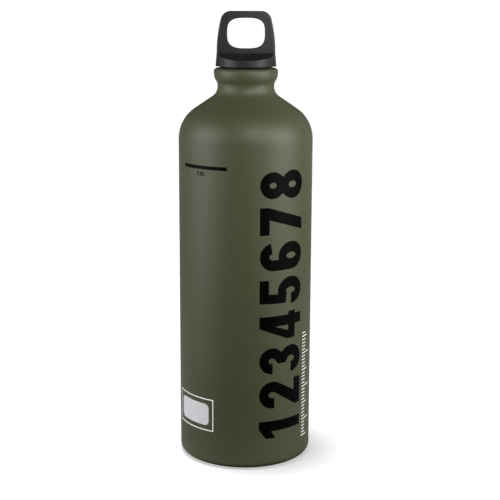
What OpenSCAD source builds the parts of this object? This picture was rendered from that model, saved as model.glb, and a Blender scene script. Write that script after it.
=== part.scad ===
// Camping fuel bottle: a seamless drawn bottle, a threaded ring crimped into its
// neck bead, and a push-and-turn stopper with a carrying loop.
// Millimetres, +Z up, origin at the centre of the foot ring.

/* [Bottle body] */
// Outside diameter of the straight body
body_d = 80; // [74:1:90]
// Height of the bottle from the foot ring to the mouth, without its stopper
bottle_h = 235.8; // [200:0.1:280]
// Wall thickness of the drawn body, also of its rolled lip
wall = 1; // [0.7:0.05:1.3]
// Thickness of the base
base_t = 2; // [1.4:0.1:3]
// Outside radius where the wall turns into the base
foot_corner_r = 4.5; // [3:0.1:7]
// Width of the flat ring that the bottle stands on
foot_ring_w = 4; // [2:0.5:8]
// Height of the hollow pressed up into the base
base_dome_h = 3.5; // [1:0.25:6]
// Radius of the rounded top edge of the body
shoulder_r = 21.6; // [15:0.1:25]
// Slope of the cone above that edge, measured at its normal, in degrees
shoulder_slope = 55.9; // [48:0.1:62]

/* [Neck] */
// Outside diameter of the neck at its waist
neck_d = 33.6; // [32:0.1:37]
// Radius of the hollow curve from the cone into the neck
neck_fillet_r = 6.8; // [4:0.1:9]
// Height of the straight waist of the neck
neck_land = 0.4; // [0.2:0.1:2]
// How far the bead stands out from the waist, per side
bead_out = 2.2; // [1.6:0.1:3]
// Radius of the hollow curve from the neck into the bead
bead_fillet_r = 5.4; // [4:0.1:7]
// Radius of the bulge of the bead
bead_round_r = 9; // [7:0.1:11]
// Height of the straight band on the bead
bead_land = 0.85; // [0.4:0.05:2]
// Radius of the outer edge of the mouth
bead_edge_r = 2; // [1.6:0.1:2.6]
// Radius that breaks the inner edge of the rolled lip
lip_edge_r = 0.4; // [0.2:0.05:0.6]

/* [Thread] */
// Rise of the thread in one turn
thread_pitch = 3; // [2.6:0.1:3.4]
// Height of the thread ridges
thread_depth = 1.1; // [0.8:0.05:1.3]
// Width of a ridge at its crest
thread_crest_w = 0.9; // [0.7:0.05:1]
// Width that a ridge gains per side for each millimetre below its crest
thread_flank = 0.5; // [0.4:0.05:0.55]
// Thickness of the threaded ring at the waist of the neck
ring_wall = 2.5; // [2:0.1:3]
// Height of the threaded ring
ring_h = 11.3; // [10:0.1:12]
// Length of the stopper's stem below the mouth
stem_l = 16; // [14:0.5:20]

/* [Stopper] */
// Thickness of the bottom of the hollow stem
stem_floor_t = 2.2; // [1.6:0.1:3]
// Wall between the thread's root and the hollow
stem_wall = 2.5; // [2:0.1:3]
// Thickness of the stopper's flange
flange_t = 1.2; // [1:0.1:1.6]
// Cord thickness of the sealing ring
o_ring_d = 1.8; // [1.5:0.1:2.2]
// Number of drive teeth
tooth_count = 12; // [8:4:12]
// Height of a drive tooth across the radius
tooth_depth = 1.2; // [0.9:0.05:1.3]
// Width of a drive tooth
tooth_w = 1.9; // [1.4:0.1:2]
// Length of a drive tooth along the axis
tooth_l = 2.4; // [1.8:0.1:3]
// How far down the hollow the teeth of the stopper start
tooth_drop = 6.9; // [6:0.1:7.5]
// How far the loop cap is pushed down to engage the teeth
push_travel = 0.9; // [0.7:0.05:1]
// Height of the pip that centres the spring
pip_h = 2; // [1:0.25:3]
// Length of the stopper's smooth shoulder inside the threaded ring
shoulder_in = 0.2; // [0.1:0.05:0.5]

/* [Spring] */
// Wire thickness of the spring
spring_wire_d = 0.9; // [0.7:0.05:1.1]
// Number of turns
spring_turns = 7; // [5:1:8]

/* [Loop cap] */
// Gap between the mouth and the bottom of the collar
cap_gap = 1.1; // [1.05:0.05:1.3]
// How far the collar stands in from the bead, per side
collar_inset = 2.3; // [2:0.1:2.6]
// Wall of the collar
skirt_wall = 1.1; // [0.9:0.05:1.3]
// Wall of the hollow boss that holds the spring
boss_wall = 1.15; // [0.9:0.05:1.4]
// Height of solid material above the spring
boss_roof_t = 3.2; // [2:0.1:4]
// How far the snap bead of the collar reaches in, per side
snap_in = 0.55; // [0.45:0.05:0.6]
// Height of the collar at its front
collar_h = 3.8; // [3.6:0.1:6]
// Height of the hollow curve between the collar and the loop plate
scoop_h = 5.3; // [3:0.1:7]
// Height of the loop's top above the mouth
loop_rise = 32.9; // [31:0.1:40]
// Half the thickness of the loop plate at its foot
plate_foot_y = 4.6; // [3.5:0.1:6]
// Half the thickness of the loop plate at its top
plate_top_y = 3.3; // [2.5:0.1:5]
// How far the plate's edges stand out from the collar at its foot
wing_out = 1.2; // [0.8:0.1:2]
// How far the plate's edges draw in from there up to its bend
wing_draw = 0.7; // [0.3:0.1:1]
// Height from the bottom of the collar to the bottom of the plate's edges
wing_gap = 0.3; // [0.2:0.1:1]
// Height from the bottom of the collar to where the edges start to curve in
wing_h = 8.1; // [6:0.1:10]
// Radius of the plate's long side edges
plate_side_r = 78; // [70:1:120]
// Radius of the plate's top corners
plate_corner_r = 6; // [4:0.5:8]
// Width of the loop's opening
hole_w = 22.1; // [18:0.1:23]
// Height of the loop's opening
hole_h = 18; // [12:0.1:18]
// Height of material above the opening
hole_top_t = 3.9; // [3:0.1:5]
// Squareness of the opening, where 2 is an ellipse
hole_power = 3.1; // [2:0.1:4]

/* [Clearances] */
// Between the threaded ring and the neck that it is crimped into
ring_gap = 0.05; // [0.03:0.01:0.08]
// Between thread crests and the roots that they run in
thread_gap = 0.25; // [0.2:0.01:0.3]
// Between the roots of the ring's thread and the edge of the lip above them
lip_step = 0.1; // [0.05:0.01:0.2]
// Between the stopper's shoulder and the lip that it passes through
lip_gap = 0.3; // [0.25:0.01:0.4]
// Between sealing faces and the resting sealing ring
seal_gap = 0.05; // [0.02:0.01:0.08]
// Between the boss of the loop cap and the hollow that guides it
guide_gap = 0.08; // [0.04:0.01:0.1]
// Between the snap bead and the flange above it
snap_gap = 0.05; // [0.02:0.01:0.1]
// Between the tips of the drive teeth and the wall opposite
tooth_gap = 0.3; // [0.2:0.01:0.4]
// Between the coil and the walls inside and outside it
spring_gap = 0.3; // [0.2:0.01:0.4]
// Between pieces that pass each other without touching
free_gap = 0.2; // [0.15:0.01:0.3]

/* [Hidden] */

// Facets of a full circle, points along a profile's arc and sections in a turn of thread
round_n = 96;
arc_n = 8;
thread_n = 36;
coil_n = 16;
wire_n = 6;
hole_n = 48;
scoop_n = 14;
// Depth to which a ridge or a tooth is rooted in its body
root_in = 0.4;
// Part of a turn over which a thread ridge fades out
thread_fade = 0.12;
// Distance from a threaded face to the middle of its last ridge, in pitches
thread_end = 0.45;
// Chamfer on the stem's end, half as large on the flange, and on the ring's lower bore
stem_chamfer = 0.8;
ring_chamfer = 0.6;

// Bottle: radii and heights of the profile, from the mouth down
body_r = body_d / 2;
neck_r = neck_d / 2;
bead_r = neck_r + bead_out;
bead_slope = acos(1 - bead_out / (bead_fillet_r + bead_round_r));
bead_z = bottle_h - bead_edge_r - bead_land;
neck_top_z = bead_z - (bead_fillet_r + bead_round_r) * sin(bead_slope);
neck_z = neck_top_z - neck_land;
cone_run = body_r - neck_r - (shoulder_r + neck_fillet_r) * (1 - cos(shoulder_slope));
shoulder_z = neck_z - (shoulder_r + neck_fillet_r) * sin(shoulder_slope) - cone_run / tan(shoulder_slope);
foot_r = body_r - foot_corner_r;
dome_edge_r = foot_r - foot_ring_w;
dome_r = (pow(dome_edge_r, 2) + pow(base_dome_h, 2)) / (2 * base_dome_h);
dome_z = base_dome_h - dome_r;

// Thread: the ring's roots are its largest radius, the stem's crests its own
ring_offset = wall + ring_gap;
ring_root_r = neck_r - ring_offset - ring_wall;
ring_crest_r = ring_root_r - thread_depth;
ring_top_z = bottle_h - ring_offset;
ring_z = ring_top_z - ring_h;
stem_crest_r = ring_root_r - thread_gap;
stem_root_r = stem_crest_r - thread_depth;
lip_r = ring_root_r + lip_step;
shoulder_plug_r = lip_r - lip_gap;
shoulder_plug_z = ring_top_z - shoulder_in;
stem_z = bottle_h - stem_l;
stem_thread_z = stem_z + stem_chamfer + thread_pitch * thread_end;
stem_thread_turns = (shoulder_plug_z - stem_thread_z) / thread_pitch - thread_end;
ring_thread_z = ring_z + thread_pitch * thread_end;
ring_thread_turns = (ring_top_z - ring_thread_z) / thread_pitch - thread_end;

// Stopper and sealing ring
o_ring_r = shoulder_plug_r + seal_gap + o_ring_d / 2;
o_ring_z = bottle_h + seal_gap + o_ring_d / 2;
flange_z = o_ring_z + o_ring_d / 2 + seal_gap;
flange_top_z = flange_z + flange_t;
hollow_r = stem_root_r - stem_wall;
hollow_z = stem_z + stem_floor_t;
plug_tooth_top_z = flange_top_z - tooth_drop;

// Loop cap: collar, boss and plate
collar_r = bead_r - collar_inset;
collar_z = bottle_h + cap_gap;
rim_z = collar_z + collar_h;
skirt_r = collar_r - skirt_wall;
flange_r = skirt_r - free_gap;
snap_r = skirt_r - snap_in;
snap_top_z = flange_z - snap_gap;
ceiling_z = flange_top_z + push_travel + free_gap;
boss_r = hollow_r - tooth_depth - tooth_gap;
boss_land_r = hollow_r - guide_gap;
boss_land_z = plug_tooth_top_z + tooth_l + 3 * free_gap;
cap_tooth_z = plug_tooth_top_z + free_gap;
cap_tooth_r = hollow_r - tooth_gap;
boss_z = cap_tooth_z - tooth_l;
boss_bore_r = boss_r - boss_wall;
spring_r = boss_bore_r - spring_gap - spring_wire_d / 2;
pip_r = spring_r - spring_wire_d / 2 - spring_gap;
spring_top_z = ceiling_z - boss_roof_t;
spring_low_z = hollow_z + seal_gap;
wing_z = collar_z + wing_gap;
wing_foot_x = collar_r + wing_out;
bend_x = wing_foot_x - wing_draw;
bend_z = collar_z + wing_h;
loop_top_z = bottle_h + loop_rise;
hole_z = loop_top_z - hole_top_t - hole_h / 2;
corner_z = loop_top_z - plate_corner_r;
// Where the top corner leaves the long side edge
corner_tilt = asin((corner_z - bend_z) / (plate_side_r - plate_corner_r));
corner_x = bend_x - plate_side_r + (plate_side_r - plate_corner_r) * cos(corner_tilt);

// Points on an arc around [x, z], from angle a to angle b
function arc(x, z, r, a, b) =
    [for (i = [0:arc_n]) let (t = a + (b - a) * i / arc_n) [x + r * cos(t), z + r * sin(t)]];

// The neck and bead, drawn w inside the outer face
function neck_curve(w) = concat(
    arc(neck_r + bead_fillet_r, neck_top_z, bead_fillet_r + w, 180, 180 - bead_slope),
    arc(bead_r - bead_round_r, bead_z, bead_round_r - w, -bead_slope, 0),
    arc(bead_r - bead_edge_r, bottle_h - bead_edge_r, bead_edge_r - w, 0, 90));

// The shoulder and the foot of the neck, drawn w inside the outer face
function shoulder_curve(w) = concat(
    arc(body_r - shoulder_r, shoulder_z, shoulder_r - w, 0, shoulder_slope),
    arc(neck_r + neck_fillet_r, neck_z, neck_fillet_r + w, 180 + shoulder_slope, 180));

// Half of the pressed-up base as an arc of radius r, up to radius x
function dome_curve(r, x) =
    [for (i = [0:arc_n]) let (s = x * i / arc_n) [s, dome_z + sqrt(r * r - s * s)]];

function reversed(list) = [for (i = [len(list) - 1:-1:0]) list[i]];

// A helical ridge of trapezoid section, from its rooted radius to its crest
module thread_ridge(root, crest, z, turns) {
    n = ceil(turns * thread_n);
    fade_n = thread_fade * thread_n;
    half_root = thread_crest_w / 2 + abs(crest - root) * thread_flank;
    sections = [for (i = [0:n])
        let (a = 360 * turns * i / n, full = min(1, i / fade_n, (n - i) / fade_n))
        let (r = root + (crest - root) * (0.1 + 0.9 * full), mid = z + thread_pitch * turns * i / n)
        for (p = [[root, -half_root], [r, -thread_crest_w / 2], [r, thread_crest_w / 2], [root, half_root]])
            [p[0] * cos(a), p[0] * sin(a), mid + p[1]]];
    sides = [for (i = [0:n - 1], j = [0:3])
        let (p = 4 * i + j, q = 4 * i + (j + 1) % 4)
        each [[p, q, q + 4], [p, q + 4, p + 4]]];
    turn_out = crest > root;
    faces = concat(sides, [[3, 2, 1], [3, 1, 0]], [[4 * n, 4 * n + 1, 4 * n + 2], [4 * n, 4 * n + 2, 4 * n + 3]]);
    polyhedron(points = sections, faces = turn_out ? faces : [for (f = faces) reversed(f)], convexity = 6);
}

// A coil of round wire about the axis, from height z up to height top
module coil(z, top) {
    n = spring_turns * coil_n;
    wire_r = spring_wire_d / 2;
    points = [for (i = [0:n])
        let (a = 360 * i / coil_n, mid = z + wire_r + (top - z - spring_wire_d) * i / n)
        for (j = [0:wire_n - 1])
            let (b = 360 * j / wire_n, r = spring_r + wire_r * cos(b))
            [r * cos(a), r * sin(a), mid + wire_r * sin(b)]];
    sides = [for (i = [0:n - 1], j = [0:wire_n - 1])
        let (p = wire_n * i + j, q = wire_n * i + (j + 1) % wire_n)
        each [[p, q, q + wire_n], [p, q + wire_n, p + wire_n]]];
    start = [for (j = [1:wire_n - 2]) [0, j + 1, j]];
    finish = [for (j = [1:wire_n - 2]) [wire_n * n, wire_n * n + j, wire_n * n + j + 1]];
    polyhedron(points = points, faces = [for (f = concat(sides, start, finish)) reversed(f)], convexity = 6);
}

// A ring of drive teeth between two radii, topped at height z
module drive_teeth(inner, outer, z, turned) {
    for (i = [0:tooth_count - 1])
        rotate([0, 0, 360 * (i + turned) / tooth_count])
            translate([inner, -tooth_w / 2, z - tooth_l])
                cube([outer - inner, tooth_w, tooth_l]);
}

// Seamless drawn bottle with a hollow base and a lip rolled over the threaded ring
module bottle_shell() {
    outside = concat(
        dome_curve(dome_r, dome_edge_r),
        arc(foot_r, foot_corner_r, foot_corner_r, -90, 0),
        shoulder_curve(0),
        neck_curve(0),
        arc(lip_r + lip_edge_r, bottle_h - lip_edge_r, lip_edge_r, 90, 180));
    inner_corner_r = foot_corner_r - wall;
    floor_r = dome_r + base_t;
    inside = concat(
        dome_curve(floor_r, sqrt(pow(floor_r, 2) - pow(floor_r - base_dome_h, 2))),
        arc(foot_r, base_t + inner_corner_r, inner_corner_r, -90, 0),
        shoulder_curve(wall),
        neck_curve(wall),
        [[lip_r, bottle_h - wall]]);
    color("darkolivegreen")
        rotate_extrude($fn = round_n)
            polygon(concat(outside, reversed(inside)));
}

// Threaded ring that the neck bead is crimped around
module neck_thread_ring() {
    outline = concat(
        [[ring_root_r + ring_chamfer, ring_z], [neck_r - ring_offset, ring_z]],
        neck_curve(ring_offset),
        [[ring_root_r, ring_top_z], [ring_root_r, ring_z + ring_chamfer]]);
    color("silver") {
        rotate_extrude($fn = round_n)
            polygon(outline);
        thread_ridge(ring_root_r + root_in, ring_crest_r, ring_thread_z, ring_thread_turns);
    }
}

// Hollow threaded stopper with a flange and inner drive teeth
module stopper_plug() {
    outline = [
        [0, stem_z],
        [stem_root_r - stem_chamfer, stem_z],
        [stem_root_r, stem_z + stem_chamfer],
        [stem_root_r, shoulder_plug_z],
        [shoulder_plug_r, shoulder_plug_z],
        [shoulder_plug_r, flange_z],
        [flange_r, flange_z],
        [flange_r, flange_top_z - stem_chamfer / 2],
        [flange_r - stem_chamfer / 2, flange_top_z],
        [hollow_r, flange_top_z],
        [hollow_r, hollow_z],
        [pip_r, hollow_z],
        [pip_r, hollow_z + pip_h],
        [0, hollow_z + pip_h]];
    start_turn = 1 / 2 - (ring_thread_z - stem_thread_z) / thread_pitch;
    color("dimgray") {
        rotate_extrude($fn = round_n)
            polygon(outline);
        rotate([0, 0, 360 * start_turn])
            thread_ridge(stem_root_r - root_in, stem_crest_r, stem_thread_z, stem_thread_turns);
        drive_teeth(hollow_r - tooth_depth, hollow_r + root_in, plug_tooth_top_z, 0);
    }
}

// Rubber sealing ring between the stopper's flange and the lip
module plug_o_ring() {
    color("black")
        rotate_extrude($fn = round_n)
            translate([o_ring_r, o_ring_z])
                circle(d = o_ring_d, $fn = 32);
}

// Compression spring that holds the loop cap up, out of the teeth
module return_spring() {
    color("lightgray")
        coil(spring_low_z, spring_top_z - seal_gap);
}

// Outline of the loop plate seen from the front
function plate_outline() = let (right = concat(
        [[wing_foot_x, wing_z], [bend_x, bend_z]],
        arc(bend_x - plate_side_r, bend_z, plate_side_r, 0, corner_tilt),
        arc(corner_x, corner_z, plate_corner_r, corner_tilt, 90)))
    concat(right, [for (p = reversed(right)) [-p[0], p[1]]]);

// Superellipse of the loop's opening
function hole_outline() = [for (i = [0:hole_n - 1])
    let (a = 360 * i / hole_n, c = cos(a), s = sin(a), e = 2 / hole_power)
    [sign(c) * pow(abs(c), e) * hole_w / 2, hole_z + sign(s) * pow(abs(s), e) * hole_h / 2]];

// Side view of the plate, tapering from its foot to its top
function plate_side() = [
    [-plate_foot_y, wing_z], [plate_foot_y, wing_z],
    [plate_foot_y, rim_z + scoop_h], [plate_top_y, loop_top_z],
    [-plate_top_y, loop_top_z], [-plate_foot_y, rim_z + scoop_h]];

// Side view of the collar under its two hollow curves
function collar_side() = let (right = [for (i = [0:scoop_n])
        let (a = 90 * i / scoop_n)
        [collar_r - (collar_r - plate_foot_y) * sin(a), rim_z + scoop_h * (1 - cos(a))]])
    concat([[-collar_r - 1, collar_z], [collar_r + 1, collar_z], [collar_r + 1, rim_z]],
        right,
        [for (p = reversed(right)) [-p[0], p[1]]],
        [[-collar_r - 1, rim_z]]);

// A front view drawn in X and Z, made solid along Y
module front_solid(outline, depth) {
    translate([0, depth / 2, 0])
        rotate([90, 0, 0])
            linear_extrude(depth)
                polygon(outline);
}

// A side view drawn in Y and Z, made solid along X
module side_solid(outline, depth) {
    translate([-depth / 2, 0, 0])
        rotate([90, 0, 90])
            linear_extrude(depth)
                polygon(outline);
}

// Loop plate, collar with snap bead, and hollow boss with outer drive teeth
module loop_cap() {
    wide = 3 * bead_r;
    color([0.16, 0.16, 0.17]) {
        difference() {
            union() {
                intersection() {
                    front_solid(plate_outline(), wide);
                    side_solid(plate_side(), wide);
                }
                intersection() {
                    translate([0, 0, collar_z])
                        cylinder(r = collar_r, h = rim_z + scoop_h - collar_z, $fn = round_n);
                    side_solid(collar_side(), wide);
                }
            }
            front_solid(hole_outline(), wide);
            translate([0, 0, collar_z - 1])
                cylinder(r = snap_r, h = snap_top_z - collar_z + 2, $fn = round_n);
            translate([0, 0, snap_top_z])
                cylinder(r = skirt_r, h = ceiling_z - snap_top_z, $fn = round_n);
        }
        difference() {
            union() {
                translate([0, 0, boss_z])
                    cylinder(r = boss_r, h = ceiling_z - boss_z + root_in, $fn = round_n);
                translate([0, 0, boss_land_z])
                    cylinder(r = boss_land_r, h = ceiling_z - boss_land_z + root_in, $fn = round_n);
                drive_teeth(boss_r - root_in, cap_tooth_r, cap_tooth_z + tooth_l, 0.5);
            }
            translate([0, 0, boss_z - 1])
                cylinder(r = boss_bore_r, h = spring_top_z - boss_z + 1, $fn = round_n);
        }
    }
}

bottle_shell();
neck_thread_ring();
stopper_plug();
plug_o_ring();
return_spring();
loop_cap();
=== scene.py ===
import math

import bmesh
import bpy
from mathutils import Matrix, Vector


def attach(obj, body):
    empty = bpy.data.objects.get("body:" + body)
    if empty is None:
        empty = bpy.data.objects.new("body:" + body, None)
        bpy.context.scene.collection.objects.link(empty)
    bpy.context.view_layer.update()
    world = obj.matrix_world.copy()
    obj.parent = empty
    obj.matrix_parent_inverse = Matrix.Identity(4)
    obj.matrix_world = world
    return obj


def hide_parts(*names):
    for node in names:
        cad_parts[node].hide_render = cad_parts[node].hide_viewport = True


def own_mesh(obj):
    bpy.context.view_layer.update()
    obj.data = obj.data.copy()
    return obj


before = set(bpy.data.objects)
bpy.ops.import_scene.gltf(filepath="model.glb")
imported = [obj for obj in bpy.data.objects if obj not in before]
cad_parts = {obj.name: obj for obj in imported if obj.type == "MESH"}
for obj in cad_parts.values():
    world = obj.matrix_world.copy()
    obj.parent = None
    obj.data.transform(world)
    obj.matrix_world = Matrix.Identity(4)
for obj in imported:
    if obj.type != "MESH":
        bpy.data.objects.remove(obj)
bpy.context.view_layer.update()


# BOTTLE
# One seamless piece of drawn aluminium, spun in at the shoulder and neck, its base pressed up into a
# dome. Satin olive powder is baked on outside, over the bead to the mouth; the inside stays bare metal.
mm = 0.001
wall = 1.0
bottle_h = 235.8
body_r = 40.0
foot_corner_r = 4.5
foot_ring_w = 4.0
base_t = 2.0
dome_h = 3.5
dome_edge_r = 1.0
shoulder_r = 21.6
shoulder_slope = 55.9
neck_r = 16.8
neck_fillet_r = 6.8
neck_land = 0.4
bead_out = 2.2
bead_fillet_r = 5.4
bead_round_r = 9.0
bead_land = 0.85
bead_edge_r = 2.0
lip_r = 13.35
lip_edge_r = 0.4
coat_edge_r = 13.9

bead_r = neck_r + bead_out
bead_slope = math.degrees(math.acos(1 - bead_out / (bead_fillet_r + bead_round_r)))
bead_z = bottle_h - bead_edge_r - bead_land
neck_top_z = bead_z - (bead_fillet_r + bead_round_r) * math.sin(math.radians(bead_slope))
neck_z = neck_top_z - neck_land
slope = math.radians(shoulder_slope)
cone_run = body_r - neck_r - (shoulder_r + neck_fillet_r) * (1 - math.cos(slope))
shoulder_z = neck_z - (shoulder_r + neck_fillet_r) * math.sin(slope) - cone_run / math.tan(slope)
foot_r = body_r - foot_corner_r
foot_inner_r = foot_corner_r - wall
dome_foot_r = foot_r - foot_ring_w
dome_r = (dome_foot_r ** 2 + dome_h ** 2) / (2 * dome_h)
inner_dome_r = dome_r + base_t
inner_dome_rim_r = math.sqrt(inner_dome_r ** 2 - (inner_dome_r - dome_h) ** 2)


def arc(x, z, r, start, end, steps):
    """Points on an arc around (x, z), from one angle to another in degrees."""
    angles = [math.radians(start + (end - start) * i / steps) for i in range(steps + 1)]
    return [(x + r * math.cos(a), z + r * math.sin(a)) for a in angles]


def straight(start, end, steps):
    """Points between two points, without the first and last."""
    shares = [i / steps for i in range(1, steps)]
    return [(start[0] + (end[0] - start[0]) * t, start[1] + (end[1] - start[1]) * t) for t in shares]


def neck_curve(inset):
    """Neck, bead and edge of the mouth, drawn inside the outer face by the inset."""
    fillet = arc(neck_r + bead_fillet_r, neck_top_z, bead_fillet_r + inset, 180, 180 - bead_slope, 16)
    bulge = arc(bead_r - bead_round_r, bead_z, bead_round_r - inset, -bead_slope, 0, 20)
    edge = arc(bead_r - bead_edge_r, bottle_h - bead_edge_r, bead_edge_r - inset, 0, 90, 14)
    return fillet + bulge + edge


def shoulder_curve(inset):
    """Rounded shoulder, cone and foot of the neck, drawn inside the outer face by the inset."""
    round_part = arc(body_r - shoulder_r, shoulder_z, shoulder_r - inset, 0, shoulder_slope, 36)
    foot = arc(neck_r + neck_fillet_r, neck_z, neck_fillet_r + inset, 180 + shoulder_slope, 180, 20)
    return round_part + straight(round_part[-1], foot[0], 8) + foot


def dome(r, rim, steps):
    """The pressed base from its middle out to the rim."""
    centre_z = dome_h - dome_r
    spans = [rim * i / steps for i in range(steps + 1)]
    return [(x, centre_z + math.sqrt(r * r - x * x)) for x in spans]


def softened(outline, radius, steps=4):
    """The outline with its real corners rounded; its ends and points along a curve stay as they are."""
    least_turn, longest_share = math.radians(20), 0.45
    line = [Vector(p) for p in outline]
    points = [tuple(line[0])]
    for before, corner, after in zip(line, line[1:], line[2:]):
        back, ahead = before - corner, after - corner
        turn = math.pi - back.angle(ahead)
        if turn < least_turn:
            points.append(tuple(corner))
            continue
        reach = min(radius * math.tan(turn / 2), longest_share * back.length, longest_share * ahead.length)
        start, end = corner + back.normalized() * reach, corner + ahead.normalized() * reach
        for i in range(steps + 1):
            t = i / steps
            points.append(tuple(start * (1 - t) ** 2 + corner * 2 * t * (1 - t) + end * t * t))
    points.append(tuple(line[-1]))
    return points


def without_doubles(outline, least):
    """The outline without the points that lie on the next one."""
    return [p for p, q in zip(outline, outline[1:] + [(-1, -1)]) if math.dist(p, q) > least]


def on_circle(r, angle, z):
    """A place in metres, from a radius and a height in millimetres and an angle."""
    return r * mm * math.cos(angle), r * mm * math.sin(angle), z * mm


def turned(outline, closed=False, segments=192):
    """A body of revolution from (radius, height) points in millimetres."""
    made = bmesh.new()
    least_r = 1e-6
    angles = [2 * math.pi * i / segments for i in range(segments)]
    rings = []
    for r, z in outline:
        around = angles if r > least_r else angles[:1]
        rings.append([made.verts.new(on_circle(r, a, z)) for a in around])
    pairs = list(zip(rings, rings[1:]))
    if closed:
        pairs.append((rings[-1], rings[0]))
    for low, high in pairs:
        for i in range(segments):
            j = (i + 1) % segments
            corners = (low[i % len(low)], low[j % len(low)], high[j % len(high)], high[i % len(high)])
            corners = list(dict.fromkeys(corners))
            if len(corners) > 2:
                made.faces.new(corners)
    bmesh.ops.recalc_face_normals(made, faces=made.faces)
    return made


def as_piece(name, made, *materials, sharp_angle=32):
    """An object from a finished bmesh, smooth but for its real edges."""
    mesh = bpy.data.meshes.new(name)
    made.to_mesh(mesh)
    made.free()
    for material in materials:
        mesh.materials.append(material)
    mesh.shade_smooth()
    mesh.set_sharp_from_angle(angle=math.radians(sharp_angle))
    piece = bpy.data.objects.new(name, mesh)
    bpy.context.scene.collection.objects.link(piece)
    return piece


def effect(name, inputs, outputs):
    """An empty shader group with named number inputs, and outputs given as name and kind."""
    tree = bpy.data.node_groups.new(name, "ShaderNodeTree")
    for label, value in inputs.items():
        socket = tree.interface.new_socket(label, in_out="INPUT", socket_type="NodeSocketFloat")
        socket.default_value = value
    for label, kind in outputs.items():
        tree.interface.new_socket(label, in_out="OUTPUT", socket_type="NodeSocket" + kind)
    return tree, tree.nodes.new("NodeGroupInput"), tree.nodes.new("NodeGroupOutput")


def node(tree, kind, links=(), values=(), **settings):
    """A shader node with its settings, its fixed input values and its incoming links."""
    made = tree.nodes.new("ShaderNode" + kind)
    for label, value in settings.items():
        setattr(made, label, value)
    for socket, value in dict(values).items():
        made.inputs[socket].default_value = value
    for socket, source in dict(links).items():
        tree.links.new(source, made.inputs[socket])
    return made


def mask_from(tree, value, none_at, full_at, least=0.0):
    """A mask that grows to 1 as a value goes from one number to another."""
    ends = {"From Min": none_at, "From Max": full_at, "To Min": least}
    return node(tree, "MapRange", {"Value": value}, ends).outputs[0]


def between(tree, mask, low, high):
    """A number between two, chosen by a mask."""
    return node(tree, "MapRange", {"Value": mask}, {"To Min": low, "To Max": high}).outputs[0]


def mixed(tree, mask, low, high):
    """A colour between two, chosen by a mask."""
    return node(tree, "Mix", {"Factor": mask}, {"A": low, "B": high}, data_type="RGBA").outputs["Result"]


def combine(tree, operation, one, other):
    """Two masks or numbers put together by one step of arithmetic."""
    return node(tree, "Math", {0: one, 1: other}, operation=operation).outputs[0]


def placed(tree, group, **values):
    """A shader group placed in a material with its own values."""
    made = tree.nodes.new("ShaderNodeGroup")
    made.node_tree = group
    for label, value in values.items():
        made.inputs[label.replace("_", " ")].default_value = value
    return made


def finish_of(name, roughness, metallic=0.0, specular=0.5):
    """A new material, its tree and its main shader."""
    material = bpy.data.materials.new(name)
    material.use_nodes = True
    shader = material.node_tree.nodes["Principled BSDF"]
    shader.inputs["Roughness"].default_value = roughness
    shader.inputs["Metallic"].default_value = metallic
    shader.inputs["Specular IOR Level"].default_value = specular
    return material, material.node_tree, shader


def surfaced(tree, shader, colour, roughness, normal):
    """The main shader fed with a colour, a roughness and a normal that change over the surface."""
    tree.links.new(colour, shader.inputs["Base Color"])
    tree.links.new(roughness, shader.inputs["Roughness"])
    tree.links.new(normal, shader.inputs["Normal"])


# Fine surface relief: a coarse swell such as orange peel and a fine grain, each with its own depth
fine_relief, given, result = effect(
    "fine_relief",
    {"Swell scale": 700, "Swell depth": 1e-5, "Grain scale": 3500, "Grain depth": 2e-6},
    {"Normal": "Vector", "Grain": "Float"})
at = node(fine_relief, "TexCoord")
swell = node(fine_relief, "TexNoise",
             {"Vector": at.outputs["Object"], "Scale": given.outputs["Swell scale"]}, {"Detail": 2.0})
grain = node(fine_relief, "TexNoise",
             {"Vector": at.outputs["Object"], "Scale": given.outputs["Grain scale"]}, {"Detail": 3.0})
swell_bump = node(fine_relief, "Bump",
                  {"Height": swell.outputs["Fac"], "Distance": given.outputs["Swell depth"]})
grain_bump = node(fine_relief, "Bump",
                  {"Height": grain.outputs["Fac"], "Distance": given.outputs["Grain depth"],
                   "Normal": swell_bump.outputs["Normal"]})
fine_relief.links.new(grain_bump.outputs["Normal"], result.inputs["Normal"])
fine_relief.links.new(grain.outputs["Fac"], result.inputs["Grain"])

# Slow drift of tone over a surface, between 0 and 1
tone_drift, given, result = effect("tone_drift", {"Scale": 40, "Contrast": 1.5}, {"Mask": "Float"})
at = node(tone_drift, "TexCoord")
cloud = node(tone_drift, "TexNoise", {"Vector": at.outputs["Object"], "Scale": given.outputs["Scale"]},
             {"Detail": 4.0, "Roughness": 0.6})
centred = node(tone_drift, "Math", {0: cloud.outputs["Fac"]}, {1: 0.5}, operation="SUBTRACT")
spread = node(tone_drift, "Math", {0: centred.outputs[0], 1: given.outputs["Contrast"]}, {2: 0.5},
              operation="MULTIPLY_ADD", use_clamp=True)
tone_drift.links.new(spread.outputs[0], result.inputs["Mask"])

# Faint marks of handling: thin streaks that catch the light, mostly along the height
handling, given, result = effect("handling", {"Scale": 900, "Amount": 0.3}, {"Mask": "Float"})
at = node(handling, "TexCoord")
stretched = node(handling, "Mapping", {"Vector": at.outputs["Object"]},
                 {"Scale": (1.0, 1.0, 0.06), "Rotation": (0.2, 0.3, 0.0)})
streaks = node(handling, "TexNoise", {"Vector": stretched.outputs[0], "Scale": given.outputs["Scale"]},
               {"Detail": 2.0})
patches = node(handling, "TexNoise", {"Vector": at.outputs["Object"]}, {"Scale": 28.0, "Detail": 1.0})
thin = mask_from(handling, streaks.outputs["Fac"], 0.66, 0.74)
where = mask_from(handling, patches.outputs["Fac"], 0.5, 0.65)
some = combine(handling, "MULTIPLY", thin, where)
faint = combine(handling, "MULTIPLY", some, given.outputs["Amount"])
handling.links.new(faint, result.inputs["Mask"])

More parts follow.
